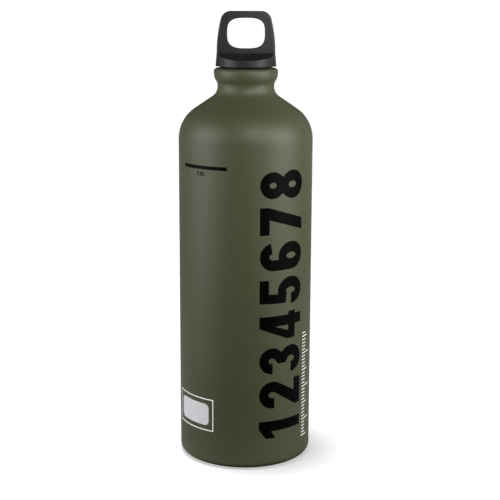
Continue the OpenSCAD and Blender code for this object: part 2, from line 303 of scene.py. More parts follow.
# Circular tool marks of spinning and turning, followed over faces and walls alike
tool_marks, given, result = effect("tool_marks", {"Lines per metre": 9000, "Depth": 1.5e-6},
                                   {"Normal": "Vector", "Mask": "Float"})
at = node(tool_marks, "TexCoord")
axes = node(tool_marks, "SeparateXYZ", {0: at.outputs["Object"]})
level = node(tool_marks, "CombineXYZ", {"X": axes.outputs["X"], "Y": axes.outputs["Y"]})
radius = node(tool_marks, "VectorMath", {0: level.outputs[0]}, operation="LENGTH")
path = combine(tool_marks, "ADD", radius.outputs["Value"], axes.outputs["Z"])
lines = node(tool_marks, "TexNoise", {"W": path, "Scale": given.outputs["Lines per metre"]},
             {"Detail": 3.0}, noise_dimensions="1D")
grooves = node(tool_marks, "Bump", {"Height": lines.outputs["Fac"], "Distance": given.outputs["Depth"]})
tool_marks.links.new(grooves.outputs["Normal"], result.inputs["Normal"])
tool_marks.links.new(lines.outputs["Fac"], result.inputs["Mask"])

# The coat: a slow drift between two olives, a fine speckle, and metal showing where the foot has rubbed
olive_deep = (0.0462, 0.0536, 0.0226, 1)
olive_light = (0.0536, 0.0620, 0.0271, 1)
rubbed_metal = (0.42, 0.43, 0.42, 1)
rub_none_z, rub_full_z = 0.0009, 0.0001
powder_coat, tree, shader = finish_of("powder_coat", roughness=0.47, specular=0.45)
drift = placed(tree, tone_drift, Scale=26, Contrast=1.6)
relief = placed(tree, fine_relief, Swell_scale=620, Swell_depth=4.2e-5,
                Grain_scale=1700, Grain_depth=3.6e-5)
marks = placed(tree, handling, Scale=700, Amount=0.08)
olive = mixed(tree, drift.outputs["Mask"], olive_deep, olive_light)
speckle = between(tree, relief.outputs["Grain"], 0.86, 1.14)
speckled = node(tree, "VectorMath", {0: olive, "Scale": speckle}, operation="SCALE")
at = node(tree, "TexCoord")
height = node(tree, "SeparateXYZ", {0: at.outputs["Object"]})
patchy = node(tree, "TexNoise", {"Vector": at.outputs["Object"]}, {"Scale": 420.0, "Detail": 3.0})
low = mask_from(tree, height.outputs["Z"], rub_none_z, rub_full_z)
worn = mask_from(tree, patchy.outputs["Fac"], 0.5, 0.62)
foot_rub = combine(tree, "MULTIPLY", low, worn)
coloured = node(tree, "Mix", {"Factor": foot_rub, "A": speckled.outputs[0]}, {"B": rubbed_metal},
                data_type="RGBA")
gloss = between(tree, drift.outputs["Mask"], 0.47, 0.53)
shine = combine(tree, "SUBTRACT", gloss, marks.outputs["Mask"])
surfaced(tree, shader, coloured.outputs["Result"], shine, relief.outputs["Normal"])
tree.links.new(foot_rub, shader.inputs["Metallic"])


def bare_metal(name, dark, light, roughness, gloss, lines, depth, drift_scale, contrast):
    """Uncoated aluminium with circular tool marks and a slow drift of tone."""
    material, tree, shader = finish_of(name, roughness=roughness, metallic=1.0)
    turning = placed(tree, tool_marks, Lines_per_metre=lines, Depth=depth)
    drift = placed(tree, tone_drift, Scale=drift_scale, Contrast=contrast)
    surfaced(tree, shader, mixed(tree, drift.outputs["Mask"], dark, light),
             between(tree, turning.outputs["Mask"], *gloss), turning.outputs["Normal"])
    return material


bare_aluminium = bare_metal(
    "bare_aluminium", (0.56, 0.565, 0.57, 1), (0.78, 0.785, 0.79, 1), roughness=0.32, gloss=(0.24, 0.42),
    lines=5200, depth=2e-6, drift_scale=60, contrast=1.8)

outer_dome = softened(dome(dome_r, dome_foot_r, 24) + [(foot_r, 0)], dome_edge_r)
barrel_foot = arc(foot_r, foot_corner_r, foot_corner_r, -90, 0, 18)
outside = outer_dome[:-1] + barrel_foot + straight(barrel_foot[-1], (body_r, shoulder_z), 24)
outside += shoulder_curve(0) + neck_curve(0)
lip = [(coat_edge_r, bottle_h)] + arc(lip_r + lip_edge_r, bottle_h - lip_edge_r, lip_edge_r, 90, 180, 8)
inner_foot = arc(foot_r, base_t + foot_inner_r, foot_inner_r, -90, 0, 12)
inside = dome(inner_dome_r, inner_dome_rim_r, 16) + inner_foot
inside += straight(inner_foot[-1], (body_r - wall, shoulder_z), 16) + shoulder_curve(wall) + neck_curve(wall)
inside.append((lip_r, bottle_h - wall))
made = turned(without_doubles(outside + lip + inside[::-1], 1e-5))
least_lean = 0.05
for face in made.faces:
    middle = face.calc_center_median() / mm
    r = math.hypot(middle.x, middle.y)
    leaning = math.hypot(face.normal.x, face.normal.y) > least_lean
    outward = face.normal.x * middle.x + face.normal.y * middle.y > 0
    under = middle.z < dome_h and face.normal.z < 0
    on_lip = middle.z > bottle_h - lip_edge_r and r > coat_edge_r
    coated = under or on_lip or (outward and leaning and r > lip_r + wall)
    face.material_index = 0 if coated else 1
bottle = as_piece("bottle", made, powder_coat, bare_aluminium)
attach(bottle, "bottle")
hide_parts("bottle_shell")


# PRINTS ON THE BOTTLE
# Pad-printed ink, cured on the powder coat: a black fill line, a bold black row of numbers that mark
# tenths of a litre, a fine white scale beside them and a white frame to write in.
ink_sunk = 0.03
ink_proud = 0.035
ink_step = 1.0
ink_weld = 0.004
# Boxes are left, right, bottom and top: arc length along the body, then height above the floor
fill_line = (-43.2, -10.9, 180.0, 182.1)
fill_text_h = 2.6
fill_text_place = (-30.9, 176.1)
litre_tenth = 20.93
first_tenth_z = 24.97
tenths_left = 8.4
scale_left = 41.2
tick_half_w = 0.3
tick_long, tick_middle, tick_short = 9.5, 6.5, 4.2
tick_count = 32
ticks_per_tenth = 10
frame_outer = (-51.8, -19.6, 22.1, 42.2)
frame_inner = (-51.1, -20.3, 22.8, 41.5)
field_box = (-48.5, -22.9, 25.4, 38.9)
field_corner_r = 3.0


def rectangle(left, right, bottom, top):
    """A closed outline in arc length along the body and height above the floor."""
    return [(left, bottom), (right, bottom), (right, top), (left, top)]


def rounded_box(left, right, bottom, top, radius):
    """A rectangle with rounded corners."""
    corners = [(right, top, 0), (left, top, 90), (left, bottom, 180), (right, bottom, 270)]
    points = []
    for x, z, start in corners:
        x += -radius if x == right else radius
        z += -radius if z == top else radius
        points += arc(x, z, radius, start, start + 90, 6)
    return points


def inked(name, groups, ink):
    """Flat shapes, each an outer edge and its openings, wrapped on the body as one thin skin of ink."""
    made = bmesh.new()
    for group in groups:
        curve = bpy.data.curves.new(name + "_flat", "CURVE")
        curve.dimensions = "2D"
        curve.fill_mode = "BOTH"
        curve.extrude = 0.5
        for outline in group:
            spline = curve.splines.new("POLY")
            spline.points.add(len(outline) - 1)
            for point, (x, z) in zip(spline.points, outline):
                point.co = (x, z, 0, 1)
            spline.use_cyclic_u = True
        flat = bpy.data.objects.new("flat", curve)
        bpy.context.scene.collection.objects.link(flat)
        bpy.context.view_layer.update()
        mesh = bpy.data.meshes.new_from_object(flat.evaluated_get(bpy.context.evaluated_depsgraph_get()))
        made.from_mesh(mesh)
        bpy.data.objects.remove(flat)
        bpy.data.meshes.remove(mesh)
    bmesh.ops.remove_doubles(made, verts=made.verts, dist=ink_weld)
    spans = [v.co.x for v in made.verts]
    cut = math.ceil(min(spans) / ink_step) * ink_step
    while cut < max(spans):
        everything = made.verts[:] + made.edges[:] + made.faces[:]
        bmesh.ops.bisect_plane(made, geom=everything, plane_co=(cut, 0, 0), plane_no=(1, 0, 0))
        cut += ink_step
    for vertex in made.verts:
        s, z, side = vertex.co
        r = body_r + (ink_proud if side > 0 else -ink_sunk)
        turn = s / body_r
        vertex.co = Vector((r * math.sin(turn), -r * math.cos(turn), z)) * mm
    bmesh.ops.recalc_face_normals(made, faces=made.faces)
    skin = as_piece(name, made, ink)
    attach(skin, "bottle")


def ink(name, deep, light, roughness, specular):
    """Printing ink: nearly even, with fine pinholes and a slightly uneven gloss."""
    material, tree, shader = finish_of(name, roughness=roughness, specular=specular)
    relief = placed(tree, fine_relief, Swell_scale=620, Swell_depth=3.2e-5,
                    Grain_scale=3200, Grain_depth=1e-5)
    drift = placed(tree, tone_drift, Scale=120, Contrast=1.4)
    gloss = between(tree, relief.outputs["Grain"], roughness - 0.05, roughness + 0.05)
    surfaced(tree, shader, mixed(tree, drift.outputs["Mask"], deep, light), gloss, relief.outputs["Normal"])
    return material


def oval(x, z, across, up, start, end, steps=20):
    """Points on an oval around (x, z), from one angle to another in degrees."""
    return [(x + across * c, z + up * s) for c, s in arc(0, 0, 1, start, end, steps)]


# Bold stencil-like figures on a field 16.6 wide and 30 high: outer edge first, then any openings
figure_w, figure_h, stroke = 16.6, 30.0, 6.4
figure_gap = 2.6
point_w = 8.2
bowl_r = figure_w / 2
bowl_in = bowl_r - stroke
figure_edges = {
    ".": [rectangle(0, 5.6, 0, 5.6)],
    "0": [oval(bowl_r, 15, bowl_r, 15, 0, 351, 39), oval(bowl_r, 15, bowl_in, 9.2, 0, 345, 23)],
    "1": [[(6.6, 0), (13.0, 0), (13.0, 30), (8.0, 30), (2.2, 25.6), (2.2, 19.4), (6.6, 22.2)]],
    "2": [oval(bowl_r, 21.6, bowl_r, 8.4, 180, -32)
          + [(8.9, 5.8), (16.6, 5.8), (16.6, 0), (0, 0), (0, 4.9)]
          + oval(bowl_r, 21.6, bowl_in, 2.6, -36, 180, 12) + [(stroke, 20.4), (0, 20.4)]],
    "3": [[(0.3, 21.6)] + oval(bowl_r, 22.1, 7.9, 7.9, 180, -50)
          + oval(bowl_r, 8.6, bowl_r, 8.6, 52, -180) + [(stroke, 8.6)]
          + oval(bowl_r, 8.6, bowl_in, 2.8, -180, 62, 12) + [(6.4, 12.6), (6.4, 17.9)]
          + oval(bowl_r, 22.1, 1.7, 2.1, -70, 180, 12) + [(6.6, 21.6)]],
    "4": [[(8.3, 0), (14.6, 0), (14.6, 5.4), (16.6, 5.4), (16.6, 10.9), (14.6, 10.9),
           (14.6, 30), (7.6, 30), (0, 11.6), (0, 5.4), (8.3, 5.4)],
          [(4.9, 10.9), (8.3, 10.9), (8.3, 20.2)]],
    "5": [[(1.6, 30), (15.4, 30), (15.4, 24.3), (7.0, 24.3), (6.8, 18.3)]
          + oval(bowl_r, 9.3, bowl_r, 9.3, 96, -180) + [(0, 8.9), (stroke, 8.9)]
          + oval(bowl_r, 9.3, bowl_in, 3.6, -176, 128, 14) + [(6.4, 12.3), (1.0, 13.0)]],
    "6": [oval(bowl_r, 21.6, bowl_r, 8.4, 180, 12) + [(10.5, 22.3)]
          + oval(bowl_r, 21.6, bowl_in, 2.6, 20, 180, 12) + [(stroke, 18.0)]
          + oval(bowl_r, 9.2, bowl_r, 9.2, 103, -180, 28),
          oval(bowl_r, 9.2, bowl_in, 3.6, 0, 345, 23)],
    "7": [[(0.3, 30), (16.4, 30), (16.4, 24.8), (8.6, 0), (1.7, 0), (9.2, 24.2), (0.3, 24.2)]],
    "8": [oval(bowl_r, 8.5, bowl_r, 8.5, -233, 53, 26) + oval(bowl_r, 22.2, 7.8, 7.8, -50, 230, 24),
          oval(bowl_r, 8.7, bowl_in, 2.9, 0, 345, 23), oval(bowl_r, 22.2, 1.7, 2.2, 0, 345, 23)],
}


def printed(text, height, left, bottom, up_the_side=False):
    """The edges of printed figures, from their lower left corner, level or reading upwards."""
    size = height / figure_h
    groups = []
    for character in text:
        group = []
        for edge in figure_edges[character]:
            if up_the_side:
                group.append([(left + height - v * size, bottom + u * size) for u, v in edge])
            else:
                group.append([(left + u * size, bottom + v * size) for u, v in edge])
        groups.append(group)
        left += (point_w if character == "." else figure_w + figure_gap) * size
    return groups


black_ink = ink("black_ink", (0.0004, 0.0004, 0.0004, 1), (0.0009, 0.0009, 0.0009, 1),
                roughness=0.42, specular=0.04)
white_ink = ink("white_ink", (0.84, 0.85, 0.82, 1), (0.89, 0.90, 0.87, 1), roughness=0.50, specular=0.3)
grey_ink = ink("grey_ink", (0.64, 0.63, 0.66, 1), (0.70, 0.69, 0.72, 1), roughness=0.50, specular=0.3)

inked("fill_mark", [[rectangle(*fill_line)]] + printed("0.85", fill_text_h, *fill_text_place), black_ink)

figures = []
for tenth in range(1, 9):
    middle_z = first_tenth_z + (tenth - 1) * litre_tenth
    figures += printed(str(tenth), figure_h, tenths_left, middle_z - figure_w / 2, up_the_side=True)
inked("tenth_figures", figures, black_ink)

# Ten ticks to a tenth, from half a tenth below the first: long at each tenth, middling halfway
half_tenth = ticks_per_tenth // 2
ticks = []
for step in range(tick_count):
    z = first_tenth_z - litre_tenth / 2 + step * litre_tenth / ticks_per_tenth
    at_tenth = step % ticks_per_tenth == half_tenth
    length = tick_long if at_tenth else (tick_middle if step % half_tenth == 0 else tick_short)
    ticks.append([rectangle(scale_left, scale_left + length, z - tick_half_w, z + tick_half_w)])
inked("fine_scale", ticks, white_ink)

inked("write_on_frame", [[rectangle(*frame_outer), rectangle(*frame_inner)]], white_ink)
inked("write_on_field", [[rounded_box(*field_box, field_corner_r)]], grey_ink)


# THREADED RING
# A machined aluminium ring that carries the female thread. The neck bead is rolled around it, so it
# can't turn or lift out.
machined_aluminium = bare_metal(
    "machined_aluminium", (0.60, 0.605, 0.61, 1), (0.80, 0.805, 0.81, 1), roughness=0.26,
    gloss=(0.18, 0.36), lines=12000, depth=1.5e-6, drift_scale=150, contrast=1.5)
thread_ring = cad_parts["neck_thread_ring"]
thread_ring.data.materials.clear()
thread_ring.data.materials.append(machined_aluminium)


# STOPPER PLUG
# A hollow plug moulded in fuel-proof black nylon, with a round thread on its stem, a flange above and
# drive teeth inside. It screws into the threaded ring.
stem_z = 219.8
stem_root_r = 11.9
stem_crest_r = 13.0
stem_chamfer = 0.8
stem_thread_z = 221.95
stem_thread_turns = 3.75
stem_start_turn = -0.45
thread_pitch = 3.0
thread_crest_w = 0.9
thread_crest_r = 0.2
thread_flank = 0.5
thread_fade = 0.12
thread_end_share = 0.1
thread_n = 96
root_in = 0.4
plug_shoulder_r = 13.05
plug_shoulder_z = 234.55
plug_edge_r = 0.25
flange_r = 15.4
flange_z = 237.7
flange_top_z = 238.9
flange_chamfer = 0.4
hollow_r = 9.4
hollow_z = 222.0
pip_r = 5.25
pip_h = 2.0
tooth_count = 12
tooth_depth = 1.2
tooth_w = 1.9
tooth_l = 2.4
tooth_edge_r = 0.2
plug_tooth_top_z = 232.0


def skinned(made, sections, closed=False):
    """The skin over a row of cross-sections, closed on itself or capped at both ends."""
    pairs = list(zip(sections, sections[1:]))
    if closed:
        pairs.append((sections[-1], sections[0]))
    for low, high in pairs:
        for i in range(len(low)):
            j = (i + 1) % len(low)
            made.faces.new((low[i], low[j], high[j], high[i]))
    if not closed:
        made.faces.new(sections[0])
        made.faces.new(sections[-1])
    bmesh.ops.recalc_face_normals(made, faces=made.faces)
    return made


def stem_thread():
    """The stem's helical ridge with an eased crest, fading out at both ends."""
    made = bmesh.new()
    root = stem_root_r - root_in
    count = math.ceil(stem_thread_turns * thread_n)
    fade = thread_fade * thread_n
    half_crest = thread_crest_w / 2
    half_root = half_crest + (stem_crest_r - root) * thread_flank
    sections = []
    for i in range(count + 1):
        angle = 2 * math.pi * (stem_start_turn + stem_thread_turns * i / count)
        middle = stem_thread_z + thread_pitch * stem_thread_turns * i / count
        full = min(1, i / fade, (count - i) / fade)
        tip = root + (stem_crest_r - root) * (thread_end_share + (1 - thread_end_share) * full)
        ease = min(thread_crest_r, 0.4 * (tip - root))
        upper = [(tip, half_crest - thread_crest_r), (tip - ease * 0.3, half_crest - 0.03),
                 (tip - ease, half_crest + 0.05), (root, half_root)]
        lower = [(r, -h) for r, h in upper[::-1]]
        sections.append([made.verts.new(on_circle(r, angle, middle + h)) for r, h in lower + upper])
    return skinned(made, sections)


def drive_teeth(inner, outer, top_z, turned_by):
    """A ring of blunt teeth between two radii."""
    made = bmesh.new()
    for i in range(tooth_count):
        low = Vector((inner, -tooth_w / 2, top_z - tooth_l)) * mm
        size = Vector((outer - inner, tooth_w, tooth_l)) * mm
        tooth = bmesh.ops.create_cube(made, size=1)["verts"]
        edges = list({e for v in tooth for e in v.link_edges})
        for vertex in tooth:
            vertex.co = Vector([low[k] + (vertex.co[k] + 0.5) * size[k] for k in range(3)])
        turn = Matrix.Rotation(2 * math.pi * (i + turned_by) / tooth_count, 4, "Z")
        bmesh.ops.transform(made, matrix=turn, verts=tooth)
        bmesh.ops.bevel(made, geom=edges, offset=tooth_edge_r * mm, segments=2, affect="EDGES")
    return made


def combined(base, other, operation):
    """One solid from two, joined or cut exactly."""
    solids = []
    for made in (base, other):
        mesh = bpy.data.meshes.new("solid")
        made.to_mesh(mesh)
        made.free()
        solid = bpy.data.objects.new("solid", mesh)
        bpy.context.scene.collection.objects.link(solid)
        solids.append(solid)
    step = solids[0].modifiers.new("step", "BOOLEAN")
    step.operation = operation
    step.solver = "EXACT"
    step.object = solids[1]
    bpy.context.view_layer.update()
    mesh = bpy.data.meshes.new_from_object(solids[0].evaluated_get(bpy.context.evaluated_depsgraph_get()))
    result = bmesh.new()
    result.from_mesh(mesh)
    for solid in solids:
        bpy.data.objects.remove(solid)
    bpy.data.meshes.remove(mesh)
    return result


def moulded(name, deep, light, roughness, swell, grain, specular=0.5):
    """Moulded plastic: a fine spark-eroded texture, faint flow tones and an uneven sheen."""
    material, tree, shader = finish_of(name, roughness=roughness, specular=specular)
    relief = placed(tree, fine_relief, Swell_scale=900, Swell_depth=swell, Grain_scale=5200,
                    Grain_depth=grain)
    drift = placed(tree, tone_drift, Scale=90, Contrast=1.6)
    marks = placed(tree, handling, Scale=1100, Amount=0.15)
    gloss = between(tree, drift.outputs["Mask"], roughness - 0.04, roughness + 0.04)
    shine = combine(tree, "SUBTRACT", gloss, marks.outputs["Mask"])
    surfaced(tree, shader, mixed(tree, drift.outputs["Mask"], deep, light), shine, relief.outputs["Normal"])
    return material


plug_nylon = moulded("plug_nylon", (0.013, 0.013, 0.014, 1), (0.020, 0.020, 0.021, 1), roughness=0.46,
                     swell=1.6e-5, grain=1.2e-5)
outline = softened([
    (0, stem_z), (stem_root_r - stem_chamfer, stem_z), (stem_root_r, stem_z + stem_chamfer),
    (stem_root_r, plug_shoulder_z), (plug_shoulder_r, plug_shoulder_z), (plug_shoulder_r, flange_z),
    (flange_r, flange_z), (flange_r, flange_top_z - flange_chamfer),
    (flange_r - flange_chamfer, flange_top_z), (hollow_r, flange_top_z), (hollow_r, hollow_z),
    (pip_r, hollow_z), (pip_r, hollow_z + pip_h), (0, hollow_z + pip_h)], plug_edge_r)
made = combined(turned(outline, segments=144), stem_thread(), "UNION")
made = combined(made, drive_teeth(hollow_r - tooth_depth, hollow_r + root_in, plug_tooth_top_z, 0), "UNION")
plug = as_piece("plug", made, plug_nylon)
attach(plug, "stopper")
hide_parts("stopper_plug")


# SEALING RING
# A moulded nitrile O-ring, pushed over the plug and squeezed between its flange and the bottle's lip.
# It shows the thin parting line of its mould.
o_ring_r = 14.0
o_ring_z = 236.75
o_ring_d = 1.8
flash_h = 0.03
flash_angle = 5
outline = []
for angle in range(0, 360, 5):
    off_line = min(angle % 180, 180 - angle % 180)
    r = o_ring_d / 2 + (flash_h if off_line < flash_angle else 0)
    turn = math.radians(angle)
    outline.append((o_ring_r + r * math.cos(turn), o_ring_z + r * math.sin(turn)))
nitrile_deep = (0.006, 0.006, 0.006, 1)
nitrile_light = (0.013, 0.013, 0.012, 1)
nitrile, tree, shader = finish_of("nitrile", roughness=0.5)
relief = placed(tree, fine_relief, Swell_scale=1500, Swell_depth=1e-5, Grain_scale=6500, Grain_depth=6e-6)
drift = placed(tree, tone_drift, Scale=300, Contrast=1.5)
surfaced(tree, shader, mixed(tree, drift.outputs["Mask"], nitrile_deep, nitrile_light),
         between(tree, drift.outputs["Mask"], 0.42, 0.58), relief.outputs["Normal"])
o_ring = as_piece("o_ring", turned(outline, closed=True, segments=144), nitrile)
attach(o_ring, "seal")
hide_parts("plug_o_ring")


# RETURN SPRING
# A compression spring of drawn stainless wire around the plug's pip. It holds the loop cap up. The real
# spring shortens as the cap is pushed down; this one is built at a single length.
spring_wire_r = 0.45
spring_r = 6.0
spring_turns = 7
spring_low_z = 222.05
spring_top_z = 236.75
coil_n = 48
wire_n = 14
made = bmesh.new()
sections = []
count = spring_turns * coil_n
climb = spring_top_z - spring_low_z - 2 * spring_wire_r
for i in range(count + 1):
    angle = 2 * math.pi * i / coil_n
    middle = spring_low_z + spring_wire_r + climb * i / count
    section = []
    for j in range(wire_n):
        around = 2 * math.pi * j / wire_n
        r = spring_r + spring_wire_r * math.cos(around)
        z = middle + spring_wire_r * math.sin(around)
        section.append(made.verts.new(on_circle(r, angle, z)))
    sections.append(section)
steel_deep = (0.48, 0.47, 0.46, 1)
steel_light = (0.64, 0.63, 0.62, 1)
drawn_steel, tree, shader = finish_of("drawn_steel", roughness=0.3, metallic=1.0)
drift = placed(tree, tone_drift, Scale=400, Contrast=1.5)
relief = placed(tree, fine_relief, Swell_scale=2500, Swell_depth=1e-6, Grain_scale=9000, Grain_depth=1e-6)
surfaced(tree, shader, mixed(tree, drift.outputs["Mask"], steel_deep, steel_light),
         between(tree, relief.outputs["Grain"], 0.22, 0.38), relief.outputs["Normal"])
spring = as_piece("spring", skinned(made, sections), drawn_steel)
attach(spring, "spring")
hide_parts("return_spring")
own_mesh(spring)


# LOOP CAP
# One satin black moulding: a collar that snaps over the plug's flange, a hollow curve in front and
# behind, and an upright loop plate whose edges run down over the collar as wings.
collar_r = 16.7
collar_z = 236.76
collar_edge_r = 0.3
rim_z = 240.7
skirt_r = 15.6
snap_r = 15.05
snap_top_z = 237.65
snap_lead = 0.5
snap_lead_z = 0.25
snap_back_z = 0.15
ceiling_z = 240.0
boss_r = 7.9
boss_z = 229.8
boss_bore_r = 6.75
boss_land_r = 9.32
boss_land_z = 235.0
cap_edge_r = 0.2
cap_tooth_r = 9.1
cap_tooth_z = 232.2
scoop_end = math.radians(75)
scoop_top_z = 244.7
scoop_sunk = 0.06
scoop_least = 0.03
bowl_rise = 0.6
bowl_reach = 12
block_y, block_z = 3.6, 245.98
plate_foot_y = 4.6
plate_top_y = 3.3
plate_taper_z = 246.0
plate_crown = 0.8
plate_side_r = 78.0
plate_corner_r = 6.0
plate_edge_r = 0.9
wing_foot = (17.9, 236.75)
wing_bend = (17.2, 245.0)
wing_edge_r = 0.4
wing_edge_from, wing_edge_over = 0.6, 3.0
wing_corner_r = 0.35
loop_top_z = 268.7
hole_w = 22.1
hole_h = 17.8
hole_z = 255.9
hole_power = 3.1
hole_edge_r = 0.45
parting_h = 0.03
parting_top_y, parting_foot_y, parting_hold_y = 0.05, 0.12, 0.3
edge_hold = 0.35

corner_z = loop_top_z - plate_corner_r
corner_tilt = math.degrees(math.asin((corner_z - wing_bend[1]) / (plate_side_r - plate_corner_r)))
side_run = (plate_side_r - plate_corner_r) * math.cos(math.radians(corner_tilt))
corner_x = wing_bend[0] - plate_side_r + side_run


def plate_half(x, z):
    """Half the thickness of the plate at a place on its face."""
    share = min(1, max(0, (z - plate_taper_z) / (loop_top_z - plate_taper_z)))
    return plate_foot_y + (plate_top_y - plate_foot_y) * share - plate_crown * (x / wing_foot[0]) ** 2


def plate_outline():
    """The plate's edge, from the middle of its foot over the right wing and the top and back."""
    side = arc(wing_bend[0] - plate_side_r, wing_bend[1], plate_side_r, 0, corner_tilt, 26)
    corner = arc(corner_x, corner_z, plate_corner_r, corner_tilt, 90, 18)
    wing = straight(wing_foot, wing_bend, 10)
    right = straight((0, wing_foot[1]), wing_foot, 16) + [wing_foot] + wing + side + corner[1:]
    right += straight(corner[-1], (0, loop_top_z), 14)
    right = [(0, wing_foot[1])] + softened(right, wing_corner_r, steps=1) + [(0, loop_top_z)]
    right = without_doubles(right, 0.01)
    return right + [(-x, z) for x, z in right[-2:0:-1]]


def hole_edge(away):
    """Where a direction from the middle of the opening meets its edge, and which way is out there."""
    across, up = abs(away.x) * 2 / hole_w, abs(away.y) * 2 / hole_h
    edge = away * (across ** hole_power + up ** hole_power) ** (-1 / hole_power)
    slope_x = (abs(edge.x) * 2 / hole_w) ** (hole_power - 1) * 2 / hole_w
    slope_z = (abs(edge.y) * 2 / hole_h) ** (hole_power - 1) * 2 / hole_h
    outward = Vector((math.copysign(slope_x, edge.x), math.copysign(slope_z, edge.y))).normalized()
    return edge + Vector((0, hole_z)), outward


def edge_round(place, way, half, radius):
    """A quarter round from a wall to the plate's face, as places on the plate and half thicknesses."""
    turns = [math.radians(15 * step) for step in range(7)]
    return [(place + way * radius * (1 - math.cos(t)), half - radius * (1 - math.sin(t))) for t in turns]


def loop_plate():
    """The upright plate as a closed ring with rounded edges inside and outside, and a parting line."""
    face_shares = (0.04, 0.14, 0.27, 0.4, 0.53, 0.66, 0.8, 0.94)
    outline = plate_outline()
    made = bmesh.new()
    sections = []
    for index, (x, z) in enumerate(outline):
        before, after = outline[index - 1], outline[(index + 1) % len(outline)]
        came = Vector((x - before[0], z - before[1])).normalized()
        goes = Vector((after[0] - x, after[1] - z)).normalized()
        inward = Vector((-came.y - goes.y, came.x + goes.x)) / (1 + came.dot(goes))
        rim = Vector((x, z))
        hole, outward = hole_edge(Vector((x, z - hole_z)).normalized())
        half_rim, half_hole = plate_half(x, z), plate_half(hole.x, hole.y)
        above_foot = min(1, max(0, (z - wing_foot[1] - wing_edge_from) / wing_edge_over))
        edge_r = wing_edge_r + (plate_edge_r - wing_edge_r) * above_foot
        outer = edge_round(rim, inward, half_rim, edge_r)
        inner = edge_round(hole, outward, half_hole, hole_edge_r)
        face = [outer[-1][0].lerp(inner[-1][0], share) for share in face_shares]
        half = outer + [(p, plate_half(p.x, p.y)) for p in face] + inner[::-1]
        ridge = rim - inward * parting_h
        edge_line = [(rim, half_rim - edge_r - edge_hold), (rim, parting_hold_y), (rim, parting_foot_y),
                     (ridge, parting_top_y)]
        edge_line += [(p, -y) for p, y in edge_line[::-1]]
        hole_wall = [(hole, -half_hole * 0.4), (hole, 0), (hole, half_hole * 0.4)]
        loop = edge_line + [(p, -y) for p, y in half] + hole_wall + half[::-1]
        sections.append([made.verts.new((p.x * mm, y * mm, p.y * mm)) for p, y in loop])
    return skinned(made, sections, closed=True)


def hollow_line(x, across, steps=24):
    """From the collar's rim up its hollow curve to the plate, as places across and heights."""
    face_y = plate_half(x, scoop_top_z) - scoop_sunk
    if across <= face_y + scoop_least:
        return [(across, block_z)] * (steps + 2)
    sweep = (collar_r - face_y) / math.sin(scoop_end)
    start = min(scoop_end, math.asin(min(1, (collar_r - across) / sweep)))
    low_z = rim_z + bowl_rise * min(1, (x / bowl_reach) ** 2)
    curve = []
    for step in range(steps + 1):
        a = start + (scoop_end - start) * step / steps
        rise = (1 - math.cos(a)) / (1 - math.cos(scoop_end))
        curve.append((collar_r - sweep * math.sin(a), low_z + (scoop_top_z - low_z) * rise))
    curve[0] = (across, curve[0][1])
    return curve + [(block_y, block_z)]


def collar_block(columns=192):
    """The round collar under its two hollow curves, as one closed block."""
    turns = [math.radians(t) for t in (0, 30, 60, 90)]
    low_edge = [(collar_r - collar_edge_r * (1 - math.sin(t)), collar_z + collar_edge_r * (1 - math.cos(t)))
                for t in turns]
    made = bmesh.new()
    rows = []
    for index in range(columns):
        angle = 2 * math.pi * index / columns
        x, y = collar_r * math.sin(angle), collar_r * math.cos(angle)
        top_line = hollow_line(x, abs(y))
        climb = top_line[0][1] - collar_z - collar_edge_r
        column = [(0, 0, collar_z)]
        column += [(r * math.sin(angle), r * math.cos(angle), z) for r, z in low_edge]
        column += [(x, y, collar_z + collar_edge_r + climb * t / 6) for t in range(1, 6)]
        column += [(x, math.copysign(1, y) * across, z) for across, z in top_line]
        column += [(x, 0, block_z)]
        rows.append([made.verts.new(Vector(p) * mm) for p in column])
    for index, low in enumerate(rows):
        high = rows[(index + 1) % columns]
        for i in range(len(low) - 1):
            made.faces.new((low[i], low[i + 1], high[i + 1], high[i]))
    bmesh.ops.remove_doubles(made, verts=made.verts, dist=0.002 * mm)
    bmesh.ops.dissolve_degenerate(made, dist=0.001 * mm, edges=made.edges)
    bmesh.ops.recalc_face_normals(made, faces=made.faces)
    return made


cap_black = moulded("cap_black", (0.0085, 0.0085, 0.0090, 1), (0.0120, 0.0120, 0.0125, 1), roughness=0.47,
                    swell=2.4e-5, grain=1.6e-5, specular=0.33)
cavity = softened([
    (0, collar_z - 1), (snap_r + snap_lead, collar_z - 1), (snap_r + snap_lead, collar_z - 0.2),
    (snap_r, collar_z + snap_lead_z), (snap_r, snap_top_z), (skirt_r, snap_top_z + snap_back_z),
    (skirt_r, ceiling_z), (0, ceiling_z)], cap_edge_r)
boss = softened([
    (0, spring_top_z), (boss_bore_r, spring_top_z), (boss_bore_r, boss_z), (boss_r, boss_z),
    (boss_r, boss_land_z), (boss_land_r, boss_land_z), (boss_land_r, ceiling_z + root_in),
    (0, ceiling_z + root_in)], cap_edge_r)
made = combined(loop_plate(), collar_block(), "UNION")
made = combined(made, turned(cavity, segments=144), "DIFFERENCE")
made = combined(made, turned(boss, segments=144), "UNION")
made = combined(made, drive_teeth(boss_r - root_in, cap_tooth_r, cap_tooth_z + tooth_l, 0.5), "UNION")
cap = as_piece("cap", made, cap_black, sharp_angle=28)
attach(cap, "cap")
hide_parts("loop_cap")


